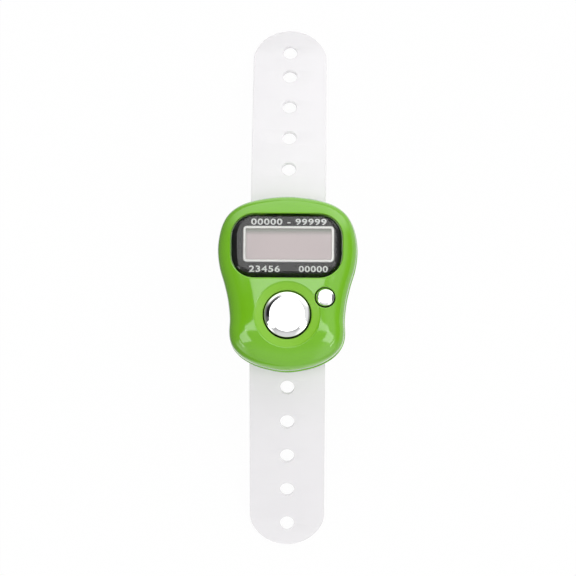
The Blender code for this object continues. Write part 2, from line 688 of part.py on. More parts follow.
def dome(name, place, radius, top_radius, flange_z, finish):
    """A rubber dome on the board, open below, that springs the button back."""
    top_z = flange_z - LAYER_GAP
    base_z = BOARD_TOP_Z + LAYER_GAP
    shelf_z = base_z + DOME_WALL
    return turned(name, [
        (0.0, top_z), (top_radius, top_z), (radius - DOME_WALL, shelf_z), (radius, shelf_z),
        (radius, base_z), (radius - 2 * DOME_WALL, base_z), (top_radius - DOME_WALL, top_z - DOME_WALL),
        (0.0, top_z - DOME_WALL),
    ], place, finish, steps=24)


def screw(name, place, head_z, length, head_radius, finish):
    """A screw driven upwards, with its slot on the underside of its head."""
    head_top_z = head_z + SCREW_HEAD_HEIGHT
    tip_z = head_top_z + length
    made = turned(name, [
        (0.0, tip_z), (SCREW_RADIUS / 2, tip_z), (SCREW_RADIUS, tip_z - SCREW_RADIUS),
        (SCREW_RADIUS, head_top_z), (head_radius, head_top_z), (head_radius, head_z + SCREW_SLOT_DEPTH),
        (head_radius - SCREW_SLOT_DEPTH, head_z), (0.0, head_z),
    ], place, finish, steps=16)
    reach = head_radius - SCREW_SLOT_DEPTH
    half_slot = SCREW_SLOT_WIDTH / 2
    for way, long, short in (("a", reach, half_slot), ("b", half_slot, reach)):
        cut(made, box(
            f"{name}_slot_{way}", (place[0] - long, place[1] - short, head_z - OVERRUN),
            (place[0] + long, place[1] + short, head_z + SCREW_SLOT_DEPTH)))
    return made


def screws(finish):
    for i, place in enumerate(CASE_SCREW_PLACES):
        screw(f"case_screw_{i + 1}", place, HEAD_Z, SCREW_LENGTH, SCREW_HEAD_RADIUS, finish)
    for i, place in enumerate(BOARD_SCREW_PLACES):
        screw(
            f"board_screw_{i + 1}", place, BOARD_Z - LAYER_GAP - SCREW_HEAD_HEIGHT,
            BOARD_SCREW_LENGTH, BOARD_SCREW_HEAD_RADIUS, finish)


class TailPath:
    """The middle line of a strap tail: a bend down from its hinge, a straight fall and a flat foot."""

    def __init__(self, hinge_y, tip_y):
        self.hinge_y = abs(hinge_y)
        bends = SLOT_BEND_RADIUS + FOOT_BEND_RADIUS
        along = abs(tip_y) - self.hinge_y - FOOT_LENGTH
        down = STRAP_HEIGHT - STRAP_THICKNESS / 2 - bends
        self.fall_length = math.sqrt(along ** 2 + down ** 2 - bends ** 2)
        self.slope = math.atan2(down, along) + math.atan2(bends, self.fall_length)
        self.length = bends * self.slope + self.fall_length + FOOT_LENGTH

    def at(self, distance):
        """The (y, z, slope) at a distance from the hinge, with y counted outwards."""
        first = SLOT_BEND_RADIUS * self.slope
        turn = min(max(distance, 0.0), first) / SLOT_BEND_RADIUS
        y = self.hinge_y + min(distance, 0.0) + SLOT_BEND_RADIUS * math.sin(turn)
        z = STRAP_HEIGHT - SLOT_BEND_RADIUS * (1 - math.cos(turn))
        if distance <= first:
            return y, z, turn
        fall = min(distance - first, self.fall_length)
        y += fall * math.cos(self.slope)
        z -= fall * math.sin(self.slope)
        rest = distance - first - fall
        back = min(rest / FOOT_BEND_RADIUS, self.slope)
        turn = self.slope - back
        y += FOOT_BEND_RADIUS * (math.sin(self.slope) - math.sin(turn))
        z -= FOOT_BEND_RADIUS * (math.cos(turn) - math.cos(self.slope))
        y += rest - FOOT_BEND_RADIUS * back
        return y, z, turn


def strap_tail(name, hinge_y, tip_y, tip_margin, tip_pitch, finish):
    """A flat blank with a rounded tip and holes, cut across at even steps and laid along its path."""
    path = TailPath(hinge_y, tip_y)
    way = 1.0 if tip_y > 0 else -1.0
    half = STRAP_WIDTH / 2
    tip_round = half * TIP_ROUND_SHARE
    outline = [(-half, 0.0), (half, 0.0)]
    for i in range(TIP_STEPS + 1):
        turn = math.pi * i / TIP_STEPS
        outline.append((half * math.cos(turn), path.length - tip_round + tip_round * math.sin(turn)))
    places = [path.length - tip_margin, path.length - tip_margin - tip_pitch]
    while len(places) < STRAP_HOLES:
        places.append(places[-1] - STRAP_HOLE_PITCH)
    holes = [circle(STRAP_HOLE_RADIUS, (0.0, place), HOLE_STEPS) for place in places]
    tail = plate(name, [outline] + holes, -STRAP_THICKNESS / 2, STRAP_THICKNESS / 2, finish)
    work = bmesh.new()
    work.from_mesh(tail.data)
    foot_start = path.length - FOOT_LENGTH
    stations = int(foot_start / BEND_SPACING)
    for i in range(1, stations + 1):
        bmesh.ops.bisect_plane(
            work, geom=work.verts[:] + work.edges[:] + work.faces[:], dist=CUT_TOLERANCE,
            plane_co=(0.0, foot_start * i / stations, 0.0), plane_no=(0.0, 1.0, 0.0))
    for vertex in work.verts:
        x, along, height = vertex.co
        y, z, slope = path.at(along)
        vertex.co = (x, way * (y + height * math.sin(slope)), z + height * math.cos(slope))
    bmesh.ops.triangulate(work, faces=work.faces)
    bmesh.ops.recalc_face_normals(work, faces=work.faces)
    work.to_mesh(tail.data)
    work.free()
    seat_on_axis(tail, Vector((0.0, hinge_y, STRAP_HEIGHT)))
    return tail


def seat_on_axis(made, point):
    """Moves an object's origin to a point on its joint's axis and leaves its shape where it is."""
    made.data.transform(Matrix.Translation(-point))
    made.location = point


def strap(finish):
    gap = STRAP_THICKNESS / 2 + HINGE_CLEARANCE
    half = STRAP_WIDTH / 2
    centre = box(
        "strap_centre", (-half, LOWER_HINGE_Y + gap, STRAP_HEIGHT - STRAP_THICKNESS / 2),
        (half, UPPER_HINGE_Y - gap, STRAP_HEIGHT + STRAP_THICKNESS / 2), finish)
    bevel = centre.modifiers.new("round", "BEVEL")
    bevel.width = STRAP_EDGE_RADIUS
    bevel.segments = 2
    strap_tail("strap_upper_tail", UPPER_HINGE_Y, UPPER_REACH, UPPER_TIP_MARGIN, UPPER_TIP_PITCH, finish)
    strap_tail("strap_lower_tail", LOWER_HINGE_Y, -LOWER_REACH, LOWER_TIP_MARGIN, STRAP_HOLE_PITCH, finish)


def stand_on_strap():
    """Sets the case between the strap's tips, so that the origin is under the middle of the whole length."""
    frame = bpy.data.objects.new("counter_frame", None)
    parts.objects.link(frame)
    frame.location = (0.0, CASE_Y, 0.0)
    for made in list(parts.objects) + list(cutters.objects):
        if made is not frame:
            made.parent = frame


def build_counter():
    start_scene()
    green = material("green_plastic", (0.19, 0.47, 0.04), 0.18)
    chrome = material("chrome_plate", (0.85, 0.86, 0.87), 0.06, metallic=1.0)
    silicone = material("clear_silicone", (0.80, 0.80, 0.82), 0.35, alpha=0.75)
    steel = material("bright_steel", (0.62, 0.62, 0.60), 0.3, metallic=1.0)
    black = material("black_mask", (0.03, 0.03, 0.03), 0.25)
    silver = material("silver_line", (0.72, 0.72, 0.70), 0.3, metallic=1.0)
    acrylic = material("clear_acrylic", (0.9, 0.9, 0.9), 0.03, alpha=0.3)
    film = material("display_film", (0.60, 0.54, 0.56), 0.3)
    glass = material("display_glass", (0.70, 0.70, 0.70), 0.05, alpha=0.5)
    reflector = material("display_reflector", (0.62, 0.58, 0.60), 0.4, metallic=0.5)
    rubber = material("dome_rubber", (0.55, 0.55, 0.53), 0.7)
    zebra = material("zebra_rubber", (0.25, 0.05, 0.08), 0.6)
    board = material("green_board", (0.03, 0.18, 0.07), 0.45)
    resin = material("black_resin", (0.015, 0.015, 0.015), 0.3)
    ceramic = material("capacitor_ceramic", (0.35, 0.24, 0.15), 0.5)

    front_cover(green)
    rear_cover(green)
    window_lens(acrylic)
    display_parts(black, silver, film, glass, reflector)
    zebra_strip(zebra)
    circuit_board(board)
    board_parts(resin, ceramic)
    cell_and_contacts(steel, steel)
    button("count_button", COUNT_PLACE, COUNT_RADIUS, COUNT_FLAT_RADIUS, COUNT_HOLE_RADIUS + FLANGE_REACH,
           (DISH_Z + COUNT_PROUD, PAD_Z, COUNT_FLANGE_Z), COUNT_STEM_RADIUS, chrome)
    button("reset_button", RESET_PLACE, RESET_RADIUS, RESET_FLAT_RADIUS,
           RESET_HOLE_RADIUS + RESET_FLANGE_REACH, (TOP_Z - RESET_SUNK, RESET_PAD_Z, RESET_FLANGE_Z),
           RESET_STEM_RADIUS, chrome)
    dome("count_dome", COUNT_PLACE, COUNT_DOME_RADIUS, COUNT_DOME_TOP_RADIUS, COUNT_FLANGE_Z, rubber)
    dome("reset_dome", RESET_PLACE, RESET_DOME_RADIUS, RESET_DOME_TOP_RADIUS, RESET_FLANGE_Z, rubber)
    screws(steel)
    strap(silicone)
    stand_on_strap()
    smooth_all()


build_counter()
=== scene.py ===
"""Finger tally counter: the dressed model round its CAD frame, with a plain studio and a camera."""
import json
import math

import bmesh
import bpy
from mathutils import Matrix, Vector


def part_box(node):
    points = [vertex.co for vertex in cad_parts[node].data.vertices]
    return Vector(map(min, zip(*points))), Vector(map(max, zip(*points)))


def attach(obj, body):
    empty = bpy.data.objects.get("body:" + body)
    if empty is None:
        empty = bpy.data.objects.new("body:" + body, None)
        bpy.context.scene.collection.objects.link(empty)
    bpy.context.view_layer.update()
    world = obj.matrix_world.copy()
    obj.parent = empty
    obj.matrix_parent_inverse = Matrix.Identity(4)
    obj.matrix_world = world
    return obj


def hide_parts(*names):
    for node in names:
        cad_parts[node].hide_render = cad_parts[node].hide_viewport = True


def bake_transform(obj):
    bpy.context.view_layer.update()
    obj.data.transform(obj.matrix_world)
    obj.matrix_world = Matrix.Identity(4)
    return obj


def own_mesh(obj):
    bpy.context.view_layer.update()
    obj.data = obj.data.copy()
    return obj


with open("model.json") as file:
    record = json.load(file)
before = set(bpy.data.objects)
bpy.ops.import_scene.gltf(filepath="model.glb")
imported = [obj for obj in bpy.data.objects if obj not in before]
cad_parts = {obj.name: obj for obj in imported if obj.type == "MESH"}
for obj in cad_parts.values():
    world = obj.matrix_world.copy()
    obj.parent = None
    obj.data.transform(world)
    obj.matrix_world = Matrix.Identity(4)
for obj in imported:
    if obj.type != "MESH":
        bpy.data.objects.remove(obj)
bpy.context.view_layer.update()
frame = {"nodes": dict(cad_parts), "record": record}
bpy.ops.object.select_all(action="DESELECT")

MM = 0.001
QUARTER = math.radians(90.0)
# Points closer than MERGE become one, and a cutter runs on by PAST beyond what it cuts
MERGE = 0.0005 * MM
PAST = MM

# Places and heights, read from the CAD nodes
cover_low, cover_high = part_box("front_cover")
lens_low, lens_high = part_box("window_lens")
mask_low, mask_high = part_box("mask_plate")
bezel_low, bezel_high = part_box("display_bezel")
count_low, count_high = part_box("count_button")
reset_low, reset_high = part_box("reset_button")
strap_low, strap_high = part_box("strap_centre")

TOP_Z = cover_high.z
FOOT_Z = cover_low.z
LENS_CENTRE = (lens_low + lens_high) / 2
LENS_SIZE = lens_high - lens_low
DISPLAY_CENTRE = (bezel_low + bezel_high) / 2
DISPLAY_SIZE = bezel_high - bezel_low
COUNT_CENTRE = (count_low + count_high) / 2
RESET_CENTRE = (reset_low + reset_high) / 2

# The case's middle and half sizes, and its outline as shares of them, from the top middle round the right side to
# the bottom middle
CASE_Y = -1.75 * MM
HALF_WIDTH = 14.0 * MM
HALF_LENGTH = 17.65 * MM
OUTLINE_SHARES = [
    (0.0, 1.0), (0.26, 0.985), (0.52, 0.945), (0.71, 0.885), (0.855, 0.79), (0.945, 0.66), (0.993, 0.49),
    (1.0, 0.33), (0.968, 0.16), (0.905, -0.01), (0.85, -0.2), (0.823, -0.4), (0.829, -0.56), (0.803, -0.68),
    (0.725, -0.78), (0.585, -0.87), (0.35, -0.95), (0.0, -0.995),
]
OUTLINE_STEPS = 288

# The covers' walls, the hollow's rounded shoulder and the groove where the two covers meet
WALL = 1.3 * MM
FRONT_SIDE_HEIGHT = 1.2 * MM
SHOULDER_REACH = 4.6 * MM
CROWN = 0.35 * MM
FOOT_INSET = 0.1 * MM
FOOT_CHAMFER = 0.12 * MM
REAR_EDGE = 2.0 * MM
REAR_FLOOR = 1.0 * MM
RIM_Z = FOOT_Z - 0.2 * MM
RIM_SLOPE = (0.3 * MM, 0.1 * MM)

# The front cover and both caps sit a little off the middle of their places, as a fit with play lets them
SET_BACK = 0.09 * MM
SET_ASIDE = Vector((-0.08 * MM, 0.045 * MM, 0.0))
CAP_PLAY = Vector((0.0, 0.10 * MM, 0.0))

# The thumb dish, the button holes and the window
DISH_RADIUS = 6.65 * MM
DISH_DEPTH = 0.8 * MM
DISH_STEP = 0.03 * MM
DISH_SHARES = (0.66, 0.72, 0.78, 0.84, 0.89, 0.93, 0.97, 1.0)
DISH_POINTS = 160
COUNT_HOLE = 4.85 * MM
RESET_HOLE = 2.05 * MM
LENS_CORNER = 4.6 * MM
LENS_GAP = 0.3 * MM
LENS_BACK_EDGE = 0.05 * MM
LIP_TURN = math.radians(60.0)
WINDOW_LIP = 0.3 * MM
COUNT_LIP = 0.32 * MM
RESET_LIP = 0.2 * MM

# The strap and the two loops that hold it under the case
STRAP_WIDTH = strap_high.x - strap_low.x
STRAP_THICKNESS = strap_high.z - strap_low.z
STRAP_PLAY = 0.25 * MM
STRAP_HOLE = 1.45 * MM
STRAP_HOLES = 5
STRAP_HOLE_PITCH = 7.4 * MM
STRAP_EDGE = 0.22 * MM
STRAP_CUT_PITCH = 0.8 * MM
BEND_LENGTH = 6 * MM
SEAM_GAP = 0.02 * MM
REAR_BACK_Z = strap_high.z + STRAP_PLAY
LOOP_PLACES = (CASE_Y + 12.5 * MM, CASE_Y - 11.6 * MM)

CASE_SCREWS = 4

# The printed figures: a capital's share of the font's size, how far apart they stand, how thick and bold they are,
# and how far they lie off the dark plate
FIGURE_SHARE = 0.72
FIGURE_SPACING = 1.12
FIGURE_THICKNESS = 0.01 * MM
FIGURE_BOLDNESS = 0.06 * MM
FIGURE_LIFT = 0.012 * MM


def joint(name):
    """The record's entry for a joint."""
    return next(entry for entry in frame["record"]["behaviour"]["joints"] if entry["name"] == name)


# Modelling helpers

def activate(piece):
    bpy.ops.object.select_all(action="DESELECT")
    piece.select_set(True)
    bpy.context.view_layer.objects.active = piece


def apply_modifiers(piece):
    activate(piece)
    for modifier in list(piece.modifiers):
        bpy.ops.object.modifier_apply(modifier=modifier.name)


def raised(name, rings):
    """A closed form drawn up from a circle, whose stations are set on each ring's points in turn."""
    bpy.ops.mesh.primitive_circle_add(vertices=len(rings[0]), radius=1.0, fill_type="NGON")
    piece = bpy.context.active_object
    piece.name = name
    bpy.ops.object.mode_set(mode="EDIT")
    work = bmesh.from_edit_mesh(piece.data)
    station = work.verts.layers.int.new("station")
    for i, vertex in enumerate(work.verts):
        vertex[station] = i
        vertex.co = rings[0][i]
    bpy.ops.mesh.select_all(action="SELECT")
    for ring in rings[1:]:
        bpy.ops.mesh.extrude_region_move()
        work = bmesh.from_edit_mesh(piece.data)
        station = work.verts.layers.int["station"]
        for vertex in work.verts:
            if vertex.select:
                vertex.co = ring[vertex[station]]
        bmesh.update_edit_mesh(piece.data)
    bpy.ops.mesh.select_all(action="SELECT")
    bpy.ops.mesh.normals_make_consistent(inside=False)
    bpy.ops.object.mode_set(mode="OBJECT")
    piece.data.attributes.remove(piece.data.attributes["station"])
    return piece


def spun(name, profile, centre, steps):
    """A turned form: the (radius, height) profile spun round a vertical axis at the centre."""
    bpy.ops.mesh.primitive_circle_add(vertices=3, radius=1.0)
    piece = bpy.context.active_object
    piece.name = name
    bpy.ops.object.mode_set(mode="EDIT")
    work = bmesh.from_edit_mesh(piece.data)
    bmesh.ops.delete(work, geom=work.verts[:], context="VERTS")
    verts = [work.verts.new((centre[0] + r, centre[1], z)) for r, z in profile]
    for a, b in zip(verts, verts[1:]):
        work.edges.new((a, b))
    bmesh.update_edit_mesh(piece.data)
    bpy.ops.mesh.select_all(action="SELECT")
    bpy.ops.mesh.spin(
        steps=steps, angle=math.tau, center=(centre[0], centre[1], 0.0), axis=(0.0, 0.0, 1.0), use_auto_merge=True)
    bpy.ops.mesh.select_all(action="SELECT")
    bpy.ops.mesh.remove_doubles(threshold=MERGE)
    bpy.ops.mesh.normals_make_consistent(inside=False)
    bpy.ops.object.mode_set(mode="OBJECT")
    return piece


def block(name, low, high):
    bpy.ops.mesh.primitive_cube_add(size=1.0, location=(Vector(low) + Vector(high)) / 2)
    piece = bpy.context.active_object
    piece.name = name
    piece.scale = Vector(high) - Vector(low)
    settle(piece)
    return piece


def settle(piece):
    """Moves a piece's placing into its points, so that its origin is the world's."""
    activate(piece)
    bpy.ops.object.transform_apply(location=True, rotation=True, scale=True)


def copied(piece, name, offset):
    """A copy with a mesh of its own, moved by the offset."""
    activate(piece)
    bpy.ops.object.duplicate()
    twin = bpy.context.active_object
    twin.name = name
    twin.location = offset
    settle(twin)
    return twin


def combine(piece, tool, operation):
    """A Boolean step that uses up its tool."""
    step = piece.modifiers.new(operation.lower(), "BOOLEAN")
    step.operation = operation
    step.solver = "EXACT"
    step.object = tool
    apply_modifiers(piece)
    bpy.data.objects.remove(tool, do_unlink=True)


def rounded(piece, width, segments, angle=30.0):
    """Rounds the edges that are sharper than the angle, in degrees."""
    bevel = piece.modifiers.new("bevel", "BEVEL")
    bevel.width = width
    bevel.segments = segments
    bevel.limit_method = "ANGLE"
    bevel.angle_limit = math.radians(angle)
    apply_modifiers(piece)


def smooth(piece, angle):
    activate(piece)
    bpy.ops.object.shade_smooth_by_angle(angle=math.radians(angle))


def coated(piece, finish):
    piece.data.materials.clear()
    piece.data.materials.append(finish.material)


def finished(piece, finish, body, slot, *replaced):
    """Gives a piece its material and its body, and hides the CAD nodes that it stands for. The slot is not used."""
    coated(piece, finish)
    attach(piece, body)
    if replaced:
        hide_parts(*replaced)
    return piece


# Outlines

def smooth_closed(knots, steps):
    """Even points along a smooth closed curve through the knots."""
    between_knots = 24
    fine = []
    for i, start in enumerate(knots):
        before, end, after = knots[i - 1], knots[(i + 1) % len(knots)], knots[(i + 2) % len(knots)]
        for step in range(between_knots):
            t = step / between_knots
            fine.append((
                2 * start + (end - before) * t + (2 * before - 5 * start + 4 * end - after) * t ** 2
                + (3 * start - before - 3 * end + after) * t ** 3) / 2)
    fine.append(fine[0])
    lengths = [0.0]
    for a, b in zip(fine, fine[1:]):
        lengths.append(lengths[-1] + (b - a).length)
    points = []
    k = 0
    for step in range(steps):
        wanted = lengths[-1] * step / steps
        while lengths[k + 1] < wanted:
            k += 1
        points.append(fine[k].lerp(fine[k + 1], (wanted - lengths[k]) / (lengths[k + 1] - lengths[k])))
    return points


OUTLINE = smooth_closed(
    [Vector((x * HALF_WIDTH, y * HALF_LENGTH))
     for x, y in OUTLINE_SHARES + [(-x, y) for x, y in reversed(OUTLINE_SHARES[1:-1])]],
    OUTLINE_STEPS,
)


def case_ring(inset, height):
    """The case's outline at a height, drawn in by the inset at its widest and longest."""
    across = 1 - inset / HALF_WIDTH
    along = 1 - inset / HALF_LENGTH
    return [Vector((p.x * across, CASE_Y + p.y * along, height)) for p in OUTLINE]


def rounded_rectangle(width, length, corner, centre, steps=14):
    """Points round a rectangle with round corners, with its straight sides divided too."""
    points = []
    for quarter, (side, end, ahead) in enumerate((
        (1, 1, (-1.0, 0.0)), (-1, 1, (0.0, -1.0)), (-1, -1, (1.0, 0.0)), (1, -1, (0.0, 1.0)),
    )):
        middle = Vector((centre[0] + side * (width / 2 - corner), centre[1] + end * (length / 2 - corner)))
        for i in range(steps + 1):
            turn = QUARTER * (quarter + i / steps)
            points.append(middle + corner * Vector((math.cos(turn), math.sin(turn))))
        run = (width if quarter % 2 == 0 else length) - 2 * corner
        last = points[-1]
        points += [last + Vector(ahead) * run * i / steps for i in range(1, steps)]
    return points


def circle(radius, centre, steps=96):
    """Points round a circle, set half a step off its axes."""
    turns = [math.tau * (i + 0.5) / steps for i in range(steps)]
    return [Vector((centre[0] + radius * math.cos(turn), centre[1] + radius * math.sin(turn))) for turn in turns]


def quarter_turns(steps):
    """Even turns from nought to a right angle."""
    return [QUARTER * i / steps for i in range(steps + 1)]


def at_height(points, height):
    return [Vector((p.x, p.y, height)) for p in points]


def over(points, heights, lift):
    """The points, each at a lift above its own height."""
    return [Vector((p.x, p.y, height + lift)) for p, height in zip(points, heights)]


# Shader helpers

class Sum:
    """A shader socket that takes part in sums."""

    def __init__(self, finish, socket):
        self.finish = finish
        self.socket = socket

    def _with(self, operation, first, second):
        return self.finish.node("ShaderNodeMath", {"operation": operation}, {0: first, 1: second})

    def __add__(self, other):
        return self._with("ADD", self, other)

    def __sub__(self, other):
        return self._with("SUBTRACT", self, other)

    def __rsub__(self, other):
        return self._with("SUBTRACT", other, self)

    def __mul__(self, other):
        return self._with("MULTIPLY", self, other)

    def __truediv__(self, other):
        return self._with("DIVIDE", self, other)

    def __rtruediv__(self, other):
        return self._with("DIVIDE", other, self)

    def __pow__(self, other):
        return self._with("POWER", self, other)

    def __rpow__(self, other):
        return self._with("POWER", other, self)

    __radd__ = __add__
    __rmul__ = __mul__

    def clamped(self):
        return self.finish.node("ShaderNodeClamp", inputs={"Value": self})

    def clamped_above(self):
        return self._with("MAXIMUM", self, 0.0)

    def between(self, low, high):
        """Nought below low, one above high, and a soft step in between."""
        return self.finish.node(
            "ShaderNodeMapRange", {"interpolation_type": "SMOOTHSTEP"},
            {"Value": self, "From Min": low, "From Max": high}, "Result")


class Nodes:
    """Adds nodes to a tree."""

    def __init__(self, tree):
        self.tree = tree

    def node(self, kind, settings=None, inputs=None, output=0):
        """Adds a node, sets it up and gives its output, or a list of outputs if a tuple names them."""
        made = self.tree.nodes.new(kind)
        for key, value in (settings or {}).items():
            setattr(made, key, value)
        for key, value in (inputs or {}).items():
            if isinstance(value, Sum):
                self.tree.links.new(value.socket, made.inputs[key])
            else:
                made.inputs[key].default_value = value
        if isinstance(output, tuple):
            return [Sum(self, made.outputs[name]) for name in output]
        return Sum(self, made.outputs[output])


class Finish(Nodes):
    """A material for one finish, built on a Principled shader."""

    def __init__(self, name, **constants):
        self.material = bpy.data.materials.new(name)
        self.material.use_nodes = True
        super().__init__(self.material.node_tree)
        self.shader = self.tree.nodes["Principled BSDF"]
        self.output = self.tree.nodes["Material Output"]
        for key, value in constants.items():
            socket = self.shader.inputs[key.replace("_", " ").title().replace("Ior", "IOR")]
            socket.default_value = (*value, 1.0) if isinstance(value, tuple) else value

    def set(self, socket, value):
        self.tree.links.new(value.socket, self.shader.inputs[socket])

    def mix_surface(self, factor, first, second):
        """Mixes two shaders for the output."""
        mixed = self.node("ShaderNodeMixShader", inputs={0: factor, 1: first, 2: second})
        self.tree.links.new(mixed.socket, self.output.inputs["Surface"])

    def principled(self):
        return Sum(self, self.shader.outputs[0])

    def place(self):
        return self.node("ShaderNodeTexCoord", output="Object")

    def axes(self, *names):
        return self.node("ShaderNodeSeparateXYZ", inputs={"Vector": self.place()}, output=names)

    def noise(self, scale, detail=3.0, roughness=0.5):
        return self.node(
            "ShaderNodeTexNoise", inputs={
                "Vector": self.place(), "Scale": scale, "Detail": detail, "Roughness": roughness}, output="Fac")

    def mix(self, factor, first, second):
        """A colour between two colours."""
        return self.node(
            "ShaderNodeMix", {"data_type": "RGBA"},
            {"Factor": factor, 6: first if isinstance(first, Sum) else (*first, 1.0),
             7: second if isinstance(second, Sum) else (*second, 1.0)}, 2)

    def bump(self, height, depth):
        self.set("Normal", self.node(
            "ShaderNodeBump", inputs={"Height": height, "Distance": depth, "Strength": 1.0}, output="Normal"))


# Finishes

def green_finish():
    """Glossy moulded plastic with a faint orange peel and fine rub marks, duller where the thumb wears it, and
    painted a lighter green in the dish as painted light.
    """
    made = Finish("green_gloss", coat_roughness=0.03)
    deep = made.mix(made.noise(90.0), (0.164, 0.465, 0.010), (0.192, 0.510, 0.017))
    across, along = made.axes("X", "Y")
    across = across - COUNT_CENTRE.x
    along = along - COUNT_CENTRE.y
    reach = (across * across + along * along) ** 0.5
    wear_and_painted_light = 1 - reach.between(DISH_RADIUS - 0.5 * MM, DISH_RADIUS + 0.1 * MM)
    # In the dish the colour is painted lighter green, which is painted light. The duller gloss there is the thumb's
    # wear.
    made.set("Base Color", made.mix(wear_and_painted_light * 0.8, deep, (0.235, 0.540, 0.028)))
    rubbed = made.noise(260.0, 5.0, 0.65) * 0.06 + made.noise(900.0, 4.0, 0.6) * 0.03
    made.set("Roughness", rubbed + 0.05 + wear_and_painted_light * 0.24)
    made.set("Coat Weight", 0.6 - wear_and_painted_light * 0.6)
    made.bump(made.noise(420.0, 2.0), 0.004 * MM)
    return made


def chrome_finish():
    """Bright plating on the caps' faces and shoulders. Just under them it is painted dull and black: painted shade
    for the dark gap round the caps.
    """
    made = Finish("chrome_plate", metallic=1.0)
    height, = made.axes("Z")
    # Painted shade: below this height the plating is painted near-black, for the dark gap round the caps
    plated = height.between(TOP_Z - 0.95 * MM, TOP_Z - 0.80 * MM)
    made.set("Base Color", made.mix(plated, (0.012, 0.012, 0.012), (0.90, 0.905, 0.91)))
    made.set("Roughness", made.noise(500.0, 4.0, 0.6) * 0.05 + 0.42 - plated * 0.40)
    made.bump(made.noise(300.0, 2.0), 0.002 * MM)
    return made


def lens_finish():
    """Clear acrylic: what lies under it shows, and it mirrors more at a low angle."""
    made = Finish("clear_acrylic", base_color=(1.0, 1.0, 1.0), roughness=0.02, metallic=1.0)
    clear = made.node("ShaderNodeBsdfTransparent", inputs={"Color": (0.985, 0.99, 0.985, 1.0)})
    fresnel = made.node("ShaderNodeFresnel", inputs={"IOR": 1.49})
    height, = made.axes("Z")
    # The back of the plate, which lies on the dark print, doesn't mirror
    above_back = height.between(lens_low.z + 0.04 * MM, lens_low.z + 0.08 * MM)
    made.mix_surface(fresnel * above_back, clear, made.principled())
    return made


def plain_finish(name, low, high, roughness, metallic=0.0):
    """A finish with a mottled colour, an uneven gloss and a fine grain."""
    made = Finish(name, metallic=metallic)
    made.set("Base Color", made.mix(made.noise(300.0), low, high))
    made.set("Roughness", made.noise(900.0, 4.0) * 0.2 + (roughness - 0.1))
    made.bump(made.noise(1800.0), 0.003 * MM)
    return made


def strap_finish():
    """Milky clear rubber: what lies under it shows through, and where two faces overlap it looks denser."""
    made = Finish("milky_strap", specular_ior_level=0.35, alpha=0.62)
    made.set("Base Color", made.mix(made.noise(120.0), (0.91, 0.895, 0.915), (0.95, 0.935, 0.955)))
    made.set("Roughness", made.noise(700.0, 4.0) * 0.15 + 0.25)
    made.bump(made.noise(1500.0), 0.004 * MM)
    return made


def mask_finish():
    """Dark print on the back of the window."""
    made = Finish("dark_print", specular_ior_level=0.0)
    made.set("Base Color", made.mix(made.noise(800.0, 4.0), (0.010, 0.010, 0.010), (0.016, 0.016, 0.015)))
    made.set("Roughness", made.noise(1200.0) * 0.1 + 0.3)
    return made


def display_finish():
    """A blank display: lilac grey, with painted shade that makes it darker and greener under its top edge and a
    little at its left.
    """
    made = Finish("blank_display")
    across, along = made.axes("X", "Y")
    depth = (bezel_high.y - along) / MM
    side = (across - bezel_low.x) / MM
    # Painted shade: the colour turns darker and greener under the frame's top edge and a little at its left
    light = depth.between(0.3, 2.1) * (side.between(0.3, 1.0) * 0.35 + 0.65)
    lilac = made.mix(made.noise(500.0), (0.88, 0.755, 0.775), (0.92, 0.795, 0.815))
    made.set("Base Color", made.mix(light, (0.30, 0.33, 0.28), lilac))
    made.set("Roughness", made.noise(900.0) * 0.1 + 0.3)
    return made


# The case

def shoulder(inset, reach, foot_z, top_z, steps):
    """Rings of a rounded shoulder, drawn in by its reach on the way from its foot to its top."""
    return [
        case_ring(inset + reach * (1 - math.cos(turn)), foot_z + (top_z - foot_z) * math.sin(turn))
        for turn in quarter_turns(steps)
    ]


def domed(foot_z, steps):
    """Rings of the case's pillow-like top, close together near its edge, drawn in almost to its middle."""
    rings = []
    for turn in quarter_turns(steps)[:-1]:
        share = math.cos(turn)
        drawn = 1 - share
        across = share * (1 - SET_BACK / HALF_WIDTH)
        along = 1 - HALF_WIDTH / HALF_LENGTH * drawn * (1 + (HALF_LENGTH / HALF_WIDTH - 1) * drawn ** 2)
        along *= 1 - SET_BACK / HALF_LENGTH
        height = foot_z + (TOP_Z - foot_z) * (1 - share ** 4) ** (1 / 3)
        rings.append([Vector((p.x * across, CASE_Y + p.y * along, height)) for p in OUTLINE])
    return rings


def surface_heights(piece, points):
    """The height of the piece's top at each point, found from above."""
    start_z = TOP_Z + 5 * MM
    heights = []
    for p in points:
        hit, place, _, _ = piece.ray_cast(Vector((p.x, p.y, start_z)), Vector((0.0, 0.0, -1.0)))
        heights.append(place.z if hit else TOP_Z)
    return heights


def lipped_cutter(name, piece, outline, floor_z, lip):
    """A cutter with a rounded lip that follows the surface. outline(offset) gives its points, drawn out."""
    steps = 5
    measured, outset, rise = 0.75 * lip, 1.08 * lip, 0.2 * lip
    heights = surface_heights(piece, outline(measured))
    rings = [at_height(outline(0.0), floor_z)]
    for i in range(steps + 1):
        turn = LIP_TURN * i / steps
        rings.append(over(outline(lip * (1 - math.cos(turn))), heights, -lip * (1 - math.sin(turn))))
    rings += [over(outline(outset), heights, lift) for lift in (rise, PAST)]
    return raised(name, rings)


def dish_cutter(piece):
    """The thumb dish: a bowl hung from a round rim on the pillow-like top, with a fine step at its edge."""
    rim = surface_heights(piece, circle(DISH_RADIUS, COUNT_CENTRE, DISH_POINTS))
    middle = sum(rim) / len(rim)
    rings = []
    for share in DISH_SHARES:
        sink = DISH_DEPTH * (1 - share ** 2) + DISH_STEP
        rings.append([
            Vector((p.x, p.y, middle + (height - middle) * share - sink))
            for p, height in zip(circle(DISH_RADIUS * share, COUNT_CENTRE, DISH_POINTS), rim)
        ])
    outside = circle(DISH_RADIUS + 2 * DISH_STEP, COUNT_CENTRE, DISH_POINTS)
    rings += [over(outside, rim, lift) for lift in (DISH_STEP, PAST)]
    return raised("dish", rings)


